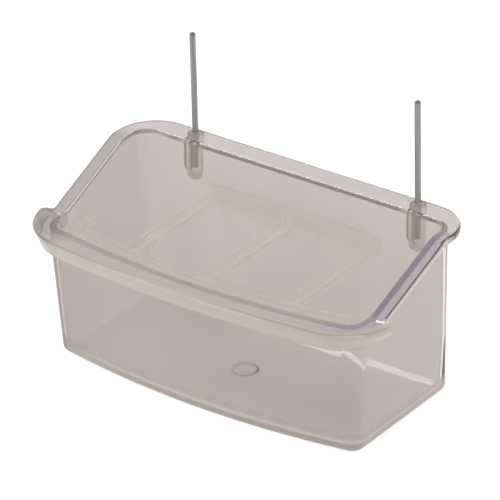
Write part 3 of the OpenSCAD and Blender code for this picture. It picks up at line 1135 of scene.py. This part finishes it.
CUP = add_piece("moulded_cup", soften(zones_as_colours(BORED_CUP)), "cup", "clear_cup", "cup_body")
print(CUP.name, "has", len(CUP.data.vertices), "points with a share of each zone")

# %% [markdown]
# The wire pins.
#
# Each pin is a length of hard grey wire, cut off square, with a small chamfer at the top
# and a knurled end pressed into its boss. A plain cylinder would do for the part that
# shows, but the seated end is seen through the clear boss. Drawing pulls faint lines along
# the wire, so its roughness runs in long streaks. The cut end is painted darker than the
# drawn side, and the seated end gets painted shade where it sits in its bore.

# %% Drawn wire
WIRE_TONE = (0.36, 0.345, 0.335, 1)
# Darker wire for worn streaks and spots and for the cut end, and painted shade on the seated end
WIRE_DARK = (0.19, 0.18, 0.175, 1)
WIRE_METAL = 0.75
WIRE_ROUGH = 0.34
STREAK_SCALE = 1500
STREAK_STRETCH = (1, 1, 0.04)
STREAK_TURN = (0.35, 0.75)
STREAK_DARK = 0.5
STREAK_ROUGH = 0.2
STREAK_STRENGTH = 0.3
STREAK_DEPTH = 0.00003
SPOT_SCALE = 700
SPOT_TURN = (0.5, 0.8)
SPOT_DARK = 0.2
PIN_FREE = 35
CUT_TOP = BACK_H + PIN_FREE
CUT_TURN = (CUT_TOP - 0.8, CUT_TOP - 0.1)
SEAT_TURN = (BACK_H - 0.8, BACK_H - 0.2)


def drawn_wire():
    """Dull grey wire with long streaks, darker at its cut end, with painted shade on its seated end."""
    finish = Finish("drawn_wire")
    streaks = finish.noise(STREAK_SCALE, FINE_DETAIL, STREAK_STRETCH)
    spots = finish.noise(SPOT_SCALE, PLAIN_DETAIL)
    height = finish.place().part("Z")
    worn = streaks.between(*STREAK_TURN) * STREAK_DARK + spots.between(*SPOT_TURN) * SPOT_DARK
    # Painted shade on the seated end, where it sits in the bore
    seat = 1 - height.past(*SEAT_TURN)
    dark = (worn + height.past(*CUT_TURN) + seat).at_most(1)
    inputs = {"Base Color": finish.blend(dark, WIRE_TONE, WIRE_DARK), "Metallic": WIRE_METAL,
              "Roughness": WIRE_ROUGH + streaks * STREAK_ROUGH,
              "Normal": finish.bump(streaks, STREAK_STRENGTH, STREAK_DEPTH)}
    return finish.surface(finish.node("ShaderNodeBsdfPrincipled", {}, inputs))


WIRE = drawn_wire()
print("wire:", WIRE.name, "with", len(WIRE.node_tree.nodes), "nodes")

# %% The pins
PIN_CHAMFER = 0.3
KNURL_END = 0.3
KNURL_N = 16


def pin_ring(x, low, high, z):
    """A ring of points that lie low and high by turns, or a plain circle where both are the same."""
    points = []
    for k in range(2 * KNURL_N):
        away = math.pi * k / KNURL_N
        size = high if k % 2 == 0 else low
        points.append((x + size * math.cos(away), PIN_Y + size * math.sin(away), z))
    return points


def pin_mesh(x):
    """A round wire with a chamfered top and a straight knurl on its seated end."""
    side = PIN_D / 2
    ridge = side + KNURL_RISE
    end = side - PIN_CHAMFER
    levels = ((side, ridge, BACK_H - PIN_SEAT), (side, ridge, BACK_H - KNURL_END), (side, side, BACK_H),
              (side, side, CUT_TOP - PIN_CHAMFER), (end, end, CUT_TOP))
    return with_material(soften(loft([pin_ring(x, *level) for level in levels], "pin_wire")), WIRE)


for side, node in ((-1, "pin_left"), (1, "pin_right")):
    pin = add_piece("wire_" + node, pin_mesh(side * PIN_GAP / 2), "cup", "pin_wire", node)
    print(pin.name, "top at", round(max(v.co.z for v in pin.data.vertices) / MM, 1), "mm")

# %% [markdown]
# The guard grille.
#
# The guard is a thin clear insert, so faint inside the cup that little more than its edges
# shows. Its packed shape is already right: a rail, three bars and a band. So it keeps its
# own mesh. It could share the cup's plastic, but that would draw bright lines along every
# bar. It gets a plastic of its own, warmer, clearer and hardly bending light, and a fine
# bevel so that its edges catch a thin line of light.

# %% Guard grille
GUARD_BEVEL = 0.25
BEVEL_STEPS = 2
GUARD_PALE = (0.78, 0.705, 0.60, 1)
GUARD_HAZE = 0.16
GUARD_CLOUDS = 0.1
GUARD_EDGE = 0.15
GUARD_DENSITY = 20
GUARD_IOR = 1.03


def guard_plastic():
    """The guard's clear plastic, with soft clouds of haze."""
    finish = Finish("guard_plastic")
    flow = finish.noise(FLOW_SCALE, FINE_DETAIL)
    tone = finish.blend(flow, GUARD_PALE, BEIGE)
    haze = GUARD_HAZE + flow * GUARD_CLOUDS
    return clear_plastic(finish, tone, haze, GUARD_EDGE, GUARD_DENSITY, GUARD_IOR)


def dress_guard():
    """Plastic and a fine bevel on the packed guard, which keeps its own mesh."""
    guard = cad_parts["guard_grille"]
    plastic = guard_plastic()
    for slot in guard.material_slots:
        slot.material = plastic
    bevel = guard.modifiers.new("fine_edges", "BEVEL")
    bevel.width = GUARD_BEVEL * MM
    bevel.segments = BEVEL_STEPS
    bevel.limit_method = "ANGLE"
    bevel.angle_limit = SHARP
    return guard


print("guard grille faces:", len(dress_guard().data.polygons))
